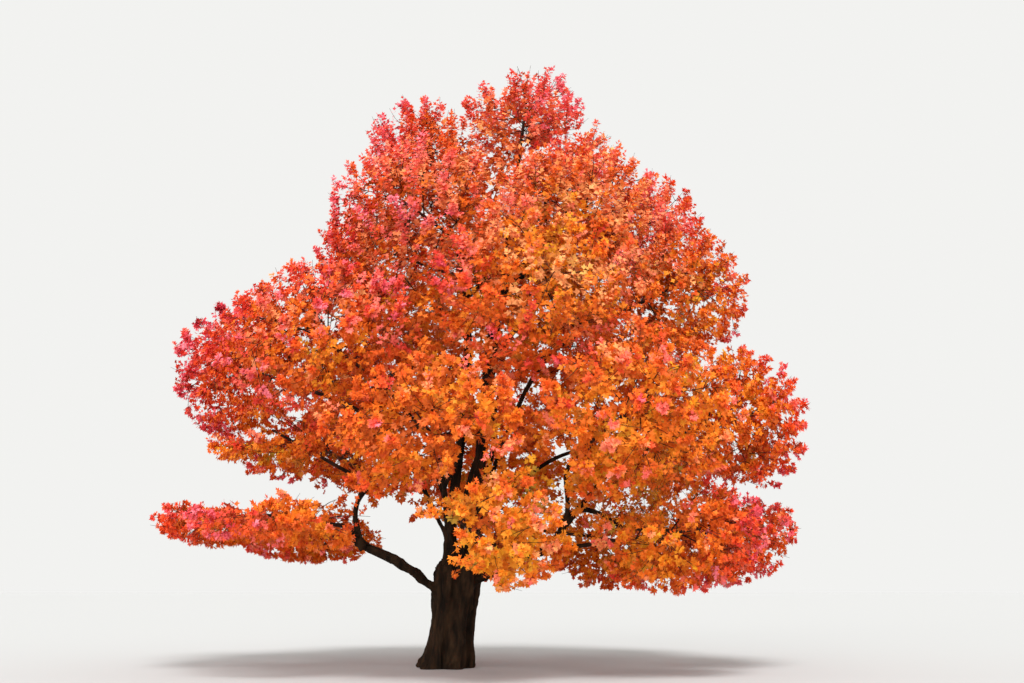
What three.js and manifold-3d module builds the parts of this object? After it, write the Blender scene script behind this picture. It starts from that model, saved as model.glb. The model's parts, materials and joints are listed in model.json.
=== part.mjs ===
// An open-grown maple in autumn leaf: a short, thick trunk that forks low, boughs that
// rise and spread from it, and six tiers of foliage masses that make a broad, uneven dome.
// Millimetres, +Z up, +X to the right of the tree's best side, -Y towards the viewer.
// The origin is the middle of the flat cut under the trunk, at ground level.
import * as THREE from "three";
import { mergeVertices } from "three/addons/utils/BufferGeometryUtils.js";
import Module from "manifold-3d";

const wasm = await Module();
wasm.setup();

const degrees = Math.PI / 180;
const turnBetweenTwigs = 137.508 * degrees;
const clearGap = 0.4; // between any two solids that meet
const wallGap = 2; // between a mass and the wall to its neighbour
const mergingGrids = [0.002, 0.0001]; // a solid stays sound when its corners merge on these
const checkSpacing = 120; // between the places that tell what comes near a limb
const seeds = { masses: 7, sprays: 606 };

// The trunk's driving sizes
const trunk = {
  height: 2150,
  radius: 395, // at breast height, without the flare
  forkSwell: 60, // how much wider it is just under the fork
  swellFrom: 900,
  swellTo: 1700,
  lean: 250, // sideways, at the fork
  flare: 120, // how far the roots' swelling stands out at the ground
  flareLeft: 45, // how much further it stands out on the left
  flareHeight: 330,
  flutes: 5,
  fluteDepth: 40,
  fluteTurn: 0.9, // radians that the flutes are turned
  footFlute: 0.5, // how much more the flare stands out on a flute
  shoulder: 430, // height of the rounded top that the boughs leave
  topShrink: 0.8, // share of the section that the rounding takes
  sides: 26,
  rings: 11,
};

// A tier is a ring of masses. Each mass reaches out to an ellipse of halfWidth and halfDepth
// about middle, and is along x across x thick in its half sizes. The ring rises by climb to the
// right, and the masses on the left are thinner by leftThin.
const tiers = [
  {
    name: "skirt",
    height: 2680,
    climb: -90,
    middle: 500,
    halfWidth: 6550,
    halfDepth: 5600,
    masses: 8,
    turn: 2,
    along: 1910,
    across: 1900,
    thick: 1230,
    leftThin: 0.55,
    rise: 2,
    source: "bough",
  },
  {
    name: "lower",
    height: 4470,
    climb: 260,
    middle: 1180,
    halfWidth: 6100,
    halfDepth: 5700,
    masses: 7,
    turn: -4,
    along: 1760,
    across: 2270,
    thick: 1730,
    leftThin: 0.4,
    rise: 6,
    source: "bough",
  },
  {
    name: "middle",
    height: 6580,
    climb: 740,
    middle: 200,
    halfWidth: 5980,
    halfDepth: 5150,
    masses: 6,
    turn: -7,
    along: 1840,
    across: 2350,
    thick: 1770,
    leftThin: 0.08,
    rise: 4,
    source: "trunk",
  },
  {
    name: "shoulder",
    height: 8510,
    climb: 170,
    middle: 1200,
    halfWidth: 4370,
    halfDepth: 4300,
    masses: 5,
    turn: 11,
    along: 1720,
    across: 2000,
    thick: 1600,
    leftThin: 0,
    rise: 12,
    source: "bough",
  },
  {
    name: "upper",
    height: 10000,
    climb: -60,
    middle: 880,
    halfWidth: 3050,
    halfDepth: 2340,
    masses: 2,
    turn: 12,
    along: 1660,
    across: 1600,
    thick: 1360,
    leftThin: 0,
    rise: 50,
    source: "trunk",
  },
  {
    name: "top",
    height: 11250,
    climb: 0,
    middle: 1520,
    halfWidth: 0,
    halfDepth: 0,
    masses: 1,
    turn: 0,
    along: 1180,
    across: 1300,
    thick: 1400,
    leftThin: 0,
    rise: 90,
    source: "trunk",
  },
];
const wander = { azimuth: 5, height: 240, size: 0.07 }; // how unevenly the masses sit

// The boughs' driving sizes
const bough = {
  tipRadius: 40,
  growth: 0.07, // share that the radius gains for each metre back from the tip
  entry: 0.93, // where it ends, as a share of the way out from the mass's middle
  leaderRise: 40, // the tiers that rise more than this are carried by upright leaders
  leaderFrom: 0.8, // how far up the trunk the leaders start
  leaderSpread: 190, // how far from the trunk's middle they start
  trunkFrom: 1450, // heights between which boughs leave the trunk
  trunkTo: 1900,
  lowLimbs: { skirt_3: 1450, skirt_5: 1050, skirt_8: 1300 }, // the lowest ones, and where they leave
  boughFrom: 0.14, // shares between which they leave another bough
  boughTo: 0.72,
  tries: 12, // places that are tried between those
  along: 0.35, // how much it starts off along its parent, where that is a bough
  trunkAlong: 0.8, // and where that is the trunk
  startHandle: 0.36, // length of the curve's handles, as a share of its span
  endHandle: 0.34,
  levelling: 0.55, // how much of its climb is left where it arrives
  turnIn: 0.6, // how much it turns in line with its mass
  sway: 0.05, // how far it swings from side to side, as a share of its span
  leaderSway: 0.025,
  swayTurn: [0.003, 0.005], // radians for each millimetre that its mass lies across and deep
  lookAlong: 0.05, // the share over which a limb's direction is taken
  thinOver: [-0.03, 0.05], // shares before and past a branch over which the limb thins
  fewestRings: 4,
  ringSpacing: 1300,
  thickFrom: 90, // radius from which it has more sides
  thickSides: 8,
  thinSides: 6,
};

// What a bough costs the tree, beside its length in millimetres
const cost = {
  bestSlope: 34, // the climb that costs nothing
  perDegreeOff: 28,
  freeBend: 50, // the turn away from the parent that costs nothing
  perDegreeBent: 30,
  fromTrunk: 900,
  crowding: 260, // nearer than this to another bough of the same limb costs crowded
  crowded: 2500,
};

// What grows in a mass. Shares are of the room from the mass's middle to the edge of its space.
const spray = {
  stemPast: 0.3, // how far past the middle the stem goes
  twigsFrom: 0.62, // where on the stem the twigs leave it, and how far apart they spread
  twigsOver: 0.3,
  twigs: 10,
  twigRadius: 24,
  twigReach: 0.86,
  twigTip: 1.05, // how far its point goes on through the whorl
  core: 0.6,
  coreLumps: 0.3,
  leafLength: 1250,
  leafWidth: 1000,
  widestAt: 0.42, // where along its length a leaf is widest
  fold: 0.16, // how far its edges hang, as a share of its width
  whorl: 3, // leaves at the end of each twig
  spin: 22, // how unevenly they are turned about it
  rootStep: 0.05, // how far apart their roots are, as a share of the twig
  outerRoot: 0.68, // where the leaf that points outward leaves it
  rootRoom: 0.3, // share of a leaf by its root that may lie close to a limb
  limbRoom: 0.2, // room that the rest keeps from a limb, as a share of the leaf's length
  twigRoom: 120, // room that a twig's end keeps from a limb
  backward: -0.85, // a twig that would turn back along its bough more than this is left out
  tilt: 0.3, // how unevenly they face outward
  skyward: 0.25, // how much they turn to the sky
  outward: 0.3, // how much they hang outward rather than straight down
  shrinks: [1, 0.84, 0.68, 0.55], // sizes that are tried where a whole leaf has no room
  smallestEdge: 90, // shorter edges are tidied away
};

const colours = {
  bark: new THREE.Color(0x2e221c),
  gold: new THREE.Color(0xe58a1c),
  orange: new THREE.Color(0xe8561c),
  crimson: new THREE.Color(0xd12c33),
};
const redness = {
  base: -0.25,
  byHeight: 0.75, // gained at the top of the crown
  byReach: 0.45, // gained at its outer edge
  top: 11500,
  middle: 700,
  edge: 5000,
};

// A repeatable stream of numbers from 0 to 1
function seeded(seed) {
  let state = seed >>> 0;
  return () => {
    state = (state + 0x6d2b79f5) >>> 0;
    let mixed = Math.imul(state ^ (state >>> 15), state | 1);
    mixed = (mixed + Math.imul(mixed ^ (mixed >>> 7), mixed | 61)) ^ mixed;
    return ((mixed ^ (mixed >>> 14)) >>> 0) / 4294967296;
  };
}

const vector = (x, y, z) => new THREE.Vector3(x, y, z);
const upward = vector(0, 0, 1);

// Masses: where each one sits and the space that it keeps to

function placeMasses() {
  const random = seeded(seeds.masses);
  const uneven = (amount) => (2 * random() - 1) * amount;
  const masses = [];
  for (const tier of tiers) {
    for (let i = 0; i < tier.masses; i++) {
      const azimuth = (tier.turn + (i * 360) / tier.masses + uneven(wander.azimuth)) * degrees;
      const outward = vector(Math.cos(azimuth), Math.sin(azimuth), 0);
      const rise = tier.rise * degrees;
      const forward = outward.clone().multiplyScalar(Math.cos(rise));
      forward.addScaledVector(upward, Math.sin(rise));
      const side = vector(-outward.y, outward.x, 0);
      const above = forward.clone().cross(side);
      const size = 1 + uneven(wander.size);
      const level = tier.height + tier.climb * outward.x + uneven(wander.height) * Math.abs(outward.y);
      const edge = vector(
        tier.middle + tier.halfWidth * outward.x,
        tier.halfDepth * outward.y,
        level,
      );
      const thin = 1 - tier.leftThin * Math.max(0, -outward.x);
      const half = [tier.along * size, tier.across * size, tier.thick * size * thin];
      const centre = edge.clone();
      if (tier.halfWidth > 0) centre.addScaledVector(outward, -half[0]);
      masses.push({
        name: tier.name + "_" + (i + 1),
        tier,
        centre,
        axes: [forward, side, above],
        half,
        walls: [],
      });
    }
  }
  return masses;
}

// How far a mass's ellipsoid reaches from its middle along a direction
function reachAlong(mass, direction) {
  const shares = mass.axes.map((axis, i) => direction.dot(axis) / mass.half[i]);
  return 1 / Math.hypot(...shares);
}

// Walls between neighbours: flat, and shared out by how far each mass would reach
function raiseWalls(masses) {
  for (const mass of masses) {
    for (const other of masses) {
      if (other === mass) continue;
      const direction = other.centre.clone().sub(mass.centre);
      const distance = direction.length();
      direction.normalize();
      const mine = reachAlong(mass, direction);
      const theirs = reachAlong(other, direction);
      if (mine + theirs < distance) continue;
      mass.walls.push({ direction, limit: (distance * mine) / (mine + theirs) - wallGap });
    }
  }
}

// The same, cut short where a wall stands nearer
function roomAlong(mass, direction) {
  let room = reachAlong(mass, direction);
  for (const wall of mass.walls) {
    const facing = direction.dot(wall.direction);
    if (facing > 0) room = Math.min(room, wall.limit / facing);
  }
  return room;
}

function isInside(mass, point) {
  const offset = point.clone().sub(mass.centre);
  const distance = offset.length();
  return distance < 1 || distance <= roomAlong(mass, offset.divideScalar(distance));
}

// Boughs: which limb each one leaves, its line and its thickness

function trunkLine() {
  const at = (share) => vector(trunk.lean * share, 0, trunk.height * share);
  return { name: "trunk", at, children: [], length: trunk.height };
}

const isLeader = (mass) => mass.tier.rise > bough.leaderRise;

// A bough leaves its parent's line, bends towards its mass and swings a little on the way
function makeBough(mass, parent, share) {
  const leader = isLeader(mass);
  const start = parent.at(share);
  const behind = parent.at(Math.max(0, share - bough.lookAlong));
  const ahead = parent.at(Math.min(1, share + bough.lookAlong)).sub(behind).normalize();
  const heading = mass.centre.clone().sub(start).normalize();
  if (leader) {
    const outward = vector(heading.x, heading.y, 0).normalize();
    start.addScaledVector(outward, bough.leaderSpread);
    heading.copy(mass.centre).sub(start).normalize();
  }
  const arrive = mass.centre.clone().sub(start);
  arrive.z *= bough.levelling;
  arrive.normalize().addScaledVector(mass.axes[0], bough.turnIn).normalize();
  const entrance = roomAlong(mass, arrive.clone().negate()) * bough.entry;
  const end = mass.centre.clone().addScaledVector(arrive, -entrance);
  const span = end.distanceTo(start);
  const along = parent.name === "trunk" ? bough.trunkAlong : bough.along;
  const leave = ahead.multiplyScalar(along).add(heading).normalize();
  const firstHandle = start.clone().addScaledVector(leave, span * bough.startHandle);
  const lastHandle = end.clone().addScaledVector(arrive, -span * bough.endHandle);
  const curve = new THREE.CubicBezierCurve3(start, firstHandle, lastHandle, end);
  const swaySide = vector(-heading.y, heading.x, 0).normalize();
  const swayWidth = span * (leader ? bough.leaderSway : bough.sway);
  const swayTurn = mass.centre.x * bough.swayTurn[0] + mass.centre.y * bough.swayTurn[1];
  const at = (t) => {
    const sway = Math.sin(t * Math.PI * 2 + swayTurn) * Math.sin(t * Math.PI) ** 2;
    return curve.getPoint(t).addScaledVector(swaySide, sway * swayWidth);
  };
  return {
    name: "bough_" + mass.name,
    mass,
    parent,
    share,
    at,
    load: 1, // masses that it carries
    children: [],
    length: curve.getLength(),
  };
}

// How much a bough from this place on its parent would cost the tree
function costOf(mass, parent, share) {
  const start = parent.at(share);
  const ahead = parent.at(Math.min(1, share + bough.lookAlong)).sub(start).normalize();
  const path = mass.centre.clone().sub(start);
  const distance = path.length();
  path.divideScalar(distance);
  const slope = Math.asin(path.z) / degrees;
  const bend = ahead.angleTo(path) / degrees;
  const nearest = Math.min(...parent.children.map((c) => Math.abs(c.share - share) * parent.length));
  const source = parent.name === "trunk" ? cost.fromTrunk : 0;
  const crowding = nearest < cost.crowding ? cost.crowded : 0;
  const steepness = Math.abs(slope - cost.bestSlope) * cost.perDegreeOff;
  const bending = Math.max(0, bend - cost.freeBend) * cost.perDegreeBent;
  return distance + steepness + bending + source + crowding;
}

// The places that a mass's bough may leave from
function placesFor(mass, root, limbs) {
  const lowest = bough.lowLimbs[mass.name];
  if (lowest) return [{ parent: root, share: lowest / trunk.height }];
  if (isLeader(mass)) return [{ parent: root, share: bough.leaderFrom }];
  const places = [];
  for (const parent of mass.tier.source === "trunk" ? [root] : limbs) {
    const low = parent === root ? bough.trunkFrom / trunk.height : bough.boughFrom;
    const high = parent === root ? bough.trunkTo / trunk.height : bough.boughTo;
    for (let step = 0; step <= bough.tries; step++) {
      places.push({ parent, share: low + ((high - low) * step) / bough.tries });
    }
  }
  return places;
}

// Each mass gets a bough from the cheapest place: first the lowest limbs, then from the top down
// those that leave the trunk, then those that may leave another bough
function growBoughs(masses) {
  const root = trunkLine();
  const limbs = [root];
  const rank = (mass) => (bough.lowLimbs[mass.name] ? 0 : mass.tier.source === "trunk" ? 1 : 2);
  for (const mass of masses.toReversed().sort((a, b) => rank(a) - rank(b))) {
    const places = placesFor(mass, root, limbs);
    const prices = places.map((place) => costOf(mass, place.parent, place.share));
    const { parent, share } = places[prices.indexOf(Math.min(...prices))];
    const limb = makeBough(mass, parent, share);
    parent.children.push(limb);
    for (let below = parent; below !== root; below = below.parent) below.load += 1;
    limbs.push(limb);
  }
  return limbs.slice(1);
}

// A bough's radius at a share of its length, from what it carries beyond there
function radiusAt(limb, share) {
  let carried = 1;
  for (const child of limb.children) {
    carried += child.load * THREE.MathUtils.smoothstep(child.share - share, ...bough.thinOver);
  }
  const back = (limb.length * (1 - share)) / 1000;
  return bough.tipRadius * Math.sqrt(carried) * (1 + bough.growth * back);
}

// Solids

// A closed three.js geometry as a solid that can be joined and cut
function solidOf(geometry) {
  geometry.deleteAttribute("normal");
  geometry.deleteAttribute("uv");
  const merged = mergeVertices(geometry, 1e-3);
  return new wasm.Manifold(
    new wasm.Mesh({
      numProp: 3,
      vertProperties: new Float32Array(merged.attributes.position.array),
      triVerts: new Uint32Array(merged.index.array),
    }),
  );
}

function geometryOf(solid) {
  const mesh = solid.getMesh();
  const geometry = new THREE.BufferGeometry();
  geometry.setAttribute("position", new THREE.BufferAttribute(mesh.vertProperties, 3));
  geometry.setIndex(new THREE.BufferAttribute(mesh.triVerts, 1));
  geometry.computeVertexNormals();
  return geometry;
}

const largestPiece = (solid) =>
  solid.decompose().reduce((best, piece) => (piece.volume() > best.volume() ? piece : best));

// Whether every edge, told by where its ends lie on a grid, is shared by just two faces
function isUnpinched(solid, grid) {
  const mesh = solid.getMesh();
  const places = Array.from({ length: mesh.numVert }, (_, v) =>
    Array.from(mesh.vertProperties.slice(3 * v, 3 * v + 3), (x) => Math.round(x / grid)).join(),
  );
  const faces = new Map();
  mesh.triVerts.forEach((v, i) => {
    const next = mesh.triVerts[i % 3 === 2 ? i - 2 : i + 1];
    const edge = [places[v], places[next]].sort().join(" ");
    faces.set(edge, (faces.get(edge) ?? 0) + 1);
  });
  return [...faces.values()].every((count) => count === 2);
}

// The parts joined in one sound piece, less what the cutters take. All but the first are tidied as
// coarsely as can be, loose scraps and sealed hollows go, and where nothing else helps the last
// part goes.
function soundPiece(parts, cutters, coarsest) {
  for (let edge = coarsest; edge > clearGap / 8; edge *= 0.7) {
    const tidied = wasm.Manifold.union(parts.slice(1)).simplify(edge);
    let cut = largestPiece(wasm.Manifold.union([parts[0], tidied]));
    for (const cutter of cutters) cut = cut.subtract(cutter);
    const tidy = largestPiece(cut.simplify(clearGap / 8));
    const piece = largestPiece(solidOf(geometryOf(tidy)));
    if (mergingGrids.every((grid) => isUnpinched(piece, grid))) return piece;
  }
  return soundPiece(parts.slice(0, -1), cutters, coarsest);
}

// Moves each corner of a geometry to where the function puts it
function moveCorners(geometry, place) {
  const position = geometry.attributes.position;
  for (let i = 0; i < position.count; i++) {
    const point = place(position.getX(i), position.getY(i), position.getZ(i));
    position.setXYZ(i, point.x, point.y, point.z);
  }
  return geometry;
}

// A cylinder with a ring at each frame. The extra is how far it is fattened all round, which
// makes the shape that cuts its neighbours clear of it.
function ringedCylinder(sides, frames, radiusOf, extra) {
  const last = frames.length - 1;
  const geometry = new THREE.CylinderGeometry(1, 1, 1, sides, last);
  return moveCorners(geometry, (x, y, z) => {
    const ring = Math.round((y + 0.5) * last);
    const frame = frames[ring];
    const angle = Math.atan2(z, x);
    const radius = Math.hypot(x, z) * (radiusOf(frame.share, angle) + extra);
    const point = frame.middle.clone();
    point.addScaledVector(frame.across, Math.cos(angle) * radius);
    point.addScaledVector(frame.other, Math.sin(angle) * radius);
    if (ring === 0) point.addScaledVector(frame.ahead, -extra);
    if (ring === last) point.addScaledVector(frame.ahead, extra);
    return point;
  });
}

// Level rings, so that the foot is cut flat at the ground
function levelFrames(count, middleAt) {
  const across = vector(1, 0, 0);
  const other = vector(0, -1, 0);
  return Array.from({ length: count + 1 }, (_, ring) => {
    const share = ring / count;
    return { share, middle: middleAt(share), across, other, ahead: upward };
  });
}

// Rings square to the line, each turned as little as can be from the one before
function squareFrames(count, middleAt) {
  let across = vector(0, 1, 0);
  return Array.from({ length: count + 1 }, (_, ring) => {
    const share = ring / count;
    const ahead = middleAt(Math.min(1, share + 0.02)).sub(middleAt(Math.max(0, share - 0.02)));
    ahead.normalize();
    across = across.clone().addScaledVector(ahead, -across.dot(ahead)).normalize();
    return { share, middle: middleAt(share), across, other: across.clone().cross(ahead), ahead };
  });
}

// The trunk swells at the foot, most on the left, and again under the fork. Its flutes run up it.
function trunkRadius(share, angle) {
  const z = share * trunk.height;
  const flute = Math.cos(trunk.flutes * angle + trunk.fluteTurn + share);
  const foot = Math.exp(-z / trunk.flareHeight) * (1 + trunk.footFlute * flute);
  const flare = foot * (trunk.flare - trunk.flareLeft * Math.cos(angle));
  const swell = trunk.forkSwell * THREE.MathUtils.smoothstep(z, trunk.swellFrom, trunk.swellTo);
  const radius = trunk.radius + flare + swell + flute * trunk.fluteDepth;
  const down = Math.min(1, (trunk.height - z) / trunk.shoulder);
  return radius * Math.sqrt(1 - trunk.topShrink * (1 - down) ** 2);
}

function buildTrunk(extra) {
  const frames = levelFrames(trunk.rings, trunkLine().at);
  return solidOf(ringedCylinder(trunk.sides, frames, trunkRadius, extra));
}

const sidesOf = (limb) => (radiusAt(limb, 0) > bough.thickFrom ? bough.thickSides : bough.thinSides);

function buildBough(limb, extra) {
  const rings = Math.max(bough.fewestRings, Math.round(limb.length / bough.ringSpacing));
  const frames = squareFrames(rings, limb.at);
  const radiusOf = (share) => radiusAt(limb, share);
  return solidOf(ringedCylinder(sidesOf(limb), frames, radiusOf, extra));
}

// What grows in a mass

// A direction that is even over the mass's ellipsoid, from one that is even over a ball
function spreadOut(mass, x, y, z) {
  const direction = vector(0, 0, 0);
  [x, y, z].forEach((part, i) => direction.addScaledVector(mass.axes[i], part * mass.half[i]));
  return direction.normalize();
}

// The stem carries on from the tip of the mass's bough, in line with it
function growStem(mass, limb) {
  const ahead = limb.at(1).sub(limb.at(0.98)).normalize();
  const start = limb.at(1).addScaledVector(ahead, clearGap / 2);
  const length = start.distanceTo(mass.centre) + roomAlong(mass, ahead) * spray.stemPast;
  return { ahead, at: (share) => start.clone().addScaledVector(ahead, length * share) };
}

function buildStem(stem, limb) {
  const radiusOf = (share) => THREE.MathUtils.lerp(bough.tipRadius, spray.twigRadius, share);
  return solidOf(ringedCylinder(sidesOf(limb), squareFrames(1, stem.at), radiusOf, 0));
}

function buildCore(mass, random) {
  const geometry = new THREE.IcosahedronGeometry(1, 0);
  geometry.deleteAttribute("normal");
  geometry.deleteAttribute("uv");
  const merged = mergeVertices(geometry, 1e-4);
  return solidOf(
    moveCorners(merged, (x, y, z) => {
      const direction = spreadOut(mass, x, y, z);
      const lump = 1 + (2 * random() - 1) * spray.coreLumps;
      const away = roomAlong(mass, direction) * spray.core * lump;
      return mass.centre.clone().addScaledVector(direction, away);
    }),
  );
}

function buildTwig(from, to) {
  const length = from.distanceTo(to);
  const geometry = new THREE.ConeGeometry(spray.twigRadius, length, 3);
  geometry.translate(0, length / 2, 0);
  const turn = new THREE.Quaternion();
  turn.setFromUnitVectors(vector(0, 1, 0), to.clone().sub(from).divideScalar(length));
  geometry.applyQuaternion(turn);
  geometry.translate(from.x, from.y, from.z);
  return solidOf(geometry);
}

// A leaf that stands for a spray: a kite folded along its rib, closed across underneath
function shapeLeaf(root, ahead, facing, length) {
  const across = facing.clone().cross(ahead).normalize();
  const above = ahead.clone().cross(across);
  const width = (spray.leafWidth * length) / spray.leafLength;
  const geometry = new THREE.TetrahedronGeometry(Math.sqrt(3));
  return moveCorners(geometry, (x, y, z) => {
    const onRib = z > 0;
    const along = onRib ? (x + 1) / 2 : spray.widestAt;
    const point = root.clone().addScaledVector(ahead, along * length);
    if (onRib) return point;
    point.addScaledVector(across, (Math.sign(y) * width) / 2);
    return point.addScaledVector(above, -width * spray.fold);
  });
}

const isClearOf = (woodPoints, point, clearance) =>
  woodPoints.every((w) => w.place.distanceTo(point) > w.radius + clearance);

// The largest leaf that keeps to the space and clear of the limbs, or none
function fitLeaf(mass, woodPoints, root, ahead, facing) {
  for (const shrink of spray.shrinks) {
    const length = spray.leafLength * shrink;
    const geometry = shapeLeaf(root, ahead, facing, length);
    const position = geometry.attributes.position;
    const corners = Array.from({ length: position.count }, (_, i) =>
      vector(0, 0, 0).fromBufferAttribute(position, i),
    );
    const fits = corners.every((corner) => {
      const byRoot = corner.distanceTo(root) < length * spray.rootRoom;
      return isInside(mass, corner) && (byRoot || isClearOf(woodPoints, corner, length * spray.limbRoom));
    });
    if (fits) return solidOf(geometry);
  }
  return null;
}

// Places along a limb, close enough together to tell what comes near it
function pointsAlong(limb) {
  const count = Math.ceil(limb.length / checkSpacing);
  return Array.from({ length: count + 1 }, (_, i) => ({
    place: limb.at(i / count),
    radius: radiusAt(limb, i / count),
  }));
}

function passesBy(mass, limb) {
  return pointsAlong(limb).some((w) => {
    const offset = w.place.sub(mass.centre);
    const distance = offset.length();
    return distance < reachAlong(mass, offset.divideScalar(distance)) + w.radius;
  });
}

// Twigs go out evenly on all sides. Each ends in a whorl of leaves, and one more points outward.
function buildMass(mass, limb, limbs, random) {
  const stem = growStem(mass, limb);
  const near = limbs.filter((other) => passesBy(mass, other));
  const woodPoints = near.flatMap(pointsAlong);
  const pieces = [buildStem(stem, limb), buildCore(mass, random)];
  const uneven = (amount) => (2 * random() - 1) * amount;
  const firstTurn = random() * 2 * Math.PI;
  for (let i = 0; i < spray.twigs; i++) {
    const along = 1 - (2 * (i + 0.5)) / spray.twigs;
    const ring = Math.sqrt(1 - along * along);
    const turn = firstTurn + i * turnBetweenTwigs;
    const direction = spreadOut(mass, along, Math.cos(turn) * ring, Math.sin(turn) * ring);
    const reach = roomAlong(mass, direction) * spray.twigReach;
    const end = mass.centre.clone().addScaledVector(direction, reach);
    const backward = direction.dot(stem.ahead) < spray.backward;
    if (backward || !isClearOf(woodPoints, end, spray.twigRoom)) continue;
    const from = stem.at(spray.twigsFrom + spray.twigsOver * along);
    pieces.push(buildTwig(from, from.clone().lerp(end, spray.twigTip)));
    const tilt = vector(uneven(spray.tilt), uneven(spray.tilt), uneven(spray.tilt) + spray.skyward);
    const facing = direction.clone().add(tilt).normalize();
    const hanging = upward.clone().negate().addScaledVector(mass.axes[0], spray.outward);
    hanging.addScaledVector(facing, -hanging.dot(facing)).normalize();
    const outerFace = stem.ahead.clone().cross(direction).cross(direction).normalize();
    const outerRoot = from.clone().lerp(end, spray.outerRoot);
    const leaves = [fitLeaf(mass, woodPoints, outerRoot, direction, outerFace)];
    for (let k = 0; k < spray.whorl; k++) {
      const spin = (k * 360) / spray.whorl + uneven(spray.spin);
      const ahead = hanging.clone().applyAxisAngle(facing, spin * degrees);
      const root = from.clone().lerp(end, 1 - spray.rootStep * k);
      leaves.push(fitLeaf(mass, woodPoints, root, ahead, facing));
    }
    pieces.push(...leaves.filter((leaf) => leaf));
  }
  const cutters = near.map((other) => buildBough(other, clearGap));
  return soundPiece(pieces, cutters, spray.smallestEdge);
}

// Redder with height and towards the tips, more golden below and inside
function leafColour(mass) {
  const height = Math.min(1, mass.centre.z / redness.top);
  const reach = Math.min(1, Math.hypot(mass.centre.x - redness.middle, mass.centre.y) / redness.edge);
  const red = redness.base + redness.byHeight * height + redness.byReach * reach;
  const warm = colours.gold.clone().lerp(colours.orange, THREE.MathUtils.clamp(red * 2, 0, 1));
  return warm.lerp(colours.crimson, THREE.MathUtils.clamp(red * 2 - 1, 0, 1));
}

const tree = new THREE.Group();

function addMesh(name, solid, colour, roughness) {
  const material = new THREE.MeshStandardMaterial({ color: colour, roughness, metalness: 0 });
  const mesh = new THREE.Mesh(geometryOf(solid), material);
  mesh.name = name;
  tree.add(mesh);
}

const masses = placeMasses();
raiseWalls(masses);
const boughs = growBoughs(masses);

addMesh("trunk", buildTrunk(0), colours.bark, 0.95);
const fattened = [buildTrunk(clearGap)];
for (const limb of boughs) {
  addMesh(limb.name, soundPiece([buildBough(limb, 0)], fattened, clearGap / 2), colours.bark, 0.95);
  fattened.push(buildBough(limb, clearGap));
}
masses.forEach((mass, i) => {
  const limb = boughs.find((candidate) => candidate.mass === mass);
  const solid = buildMass(mass, limb, boughs, seeded(seeds.sprays + i));
  addMesh("foliage_" + mass.name, solid, leafColour(mass), 0.75);
});

export default tree;
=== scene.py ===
import json
import math

import bpy
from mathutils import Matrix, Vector
import numpy as np

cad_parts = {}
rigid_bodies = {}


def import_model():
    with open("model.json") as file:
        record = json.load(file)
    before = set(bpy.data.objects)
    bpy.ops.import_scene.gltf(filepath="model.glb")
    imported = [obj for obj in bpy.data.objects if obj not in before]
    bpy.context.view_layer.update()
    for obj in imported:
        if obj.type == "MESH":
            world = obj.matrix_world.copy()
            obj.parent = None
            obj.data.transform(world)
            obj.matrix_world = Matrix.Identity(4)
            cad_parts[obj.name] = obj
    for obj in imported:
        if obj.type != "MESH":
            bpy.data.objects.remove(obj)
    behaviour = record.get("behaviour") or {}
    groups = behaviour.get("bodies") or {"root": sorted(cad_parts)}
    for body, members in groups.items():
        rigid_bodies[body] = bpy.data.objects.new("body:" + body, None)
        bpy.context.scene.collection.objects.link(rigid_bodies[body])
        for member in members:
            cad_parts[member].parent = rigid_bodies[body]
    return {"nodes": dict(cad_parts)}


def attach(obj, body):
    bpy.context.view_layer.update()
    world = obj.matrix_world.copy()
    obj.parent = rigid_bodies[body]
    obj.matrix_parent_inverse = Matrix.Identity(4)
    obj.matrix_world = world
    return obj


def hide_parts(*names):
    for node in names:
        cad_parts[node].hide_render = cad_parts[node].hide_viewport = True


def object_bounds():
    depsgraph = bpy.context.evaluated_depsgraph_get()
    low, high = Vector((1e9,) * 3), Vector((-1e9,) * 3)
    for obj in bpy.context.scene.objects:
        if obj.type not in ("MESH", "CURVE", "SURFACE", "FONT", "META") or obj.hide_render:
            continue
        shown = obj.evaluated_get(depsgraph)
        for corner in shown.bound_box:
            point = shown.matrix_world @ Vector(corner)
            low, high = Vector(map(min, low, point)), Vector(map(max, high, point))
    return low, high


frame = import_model()
cadLow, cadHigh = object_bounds()
print("frame loaded:", len(frame["nodes"]), "nodes")

degree = math.pi / 180
clearGap = 0.4
wallGap = 2
turnBetweenTwigs = 137.508 * degree
seeds = {"masses": 7, "sprays": 606}

# The tree grows in millimetres, by the rule of the part's source, and is made in metres
metre = 0.001

trunk = {
    "height": 2150,
    "radius": 395,
    "forkSwell": 60,
    "swellFrom": 900,
    "swellTo": 1700,
    "lean": 250,
    "flare": 120,
    "flareLeft": 45,
    "flareHeight": 330,
    "flutes": 5,
    "fluteDepth": 40,
    "fluteTurn": 0.9,
    "footFlute": 0.5,
    "shoulder": 430,
    "topShrink": 0.8,
}

tierKeys = (
    "name", "height", "climb", "middle", "halfWidth", "halfDepth", "masses", "turn",
    "along", "across", "thick", "leftThin", "rise", "source",
)
tierRows = (
    ("skirt", 2680, -90, 500, 6550, 5600, 8, 2, 1910, 1900, 1230, 0.55, 2, "bough"),
    ("lower", 4470, 260, 1180, 6100, 5700, 7, -4, 1760, 2270, 1730, 0.4, 6, "bough"),
    ("middle", 6580, 740, 200, 5980, 5150, 6, -7, 1840, 2350, 1770, 0.08, 4, "trunk"),
    ("shoulder", 8510, 170, 1200, 4370, 4300, 5, 11, 1720, 2000, 1600, 0, 12, "bough"),
    ("upper", 10000, -60, 880, 3050, 2340, 2, 12, 1660, 1600, 1360, 0, 50, "trunk"),
    ("top", 11250, 0, 1520, 0, 0, 1, 0, 1180, 1300, 1400, 0, 90, "trunk"),
)
tiers = [dict(zip(tierKeys, row)) for row in tierRows]
wander = {"azimuth": 5, "height": 240, "size": 0.07}

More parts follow.
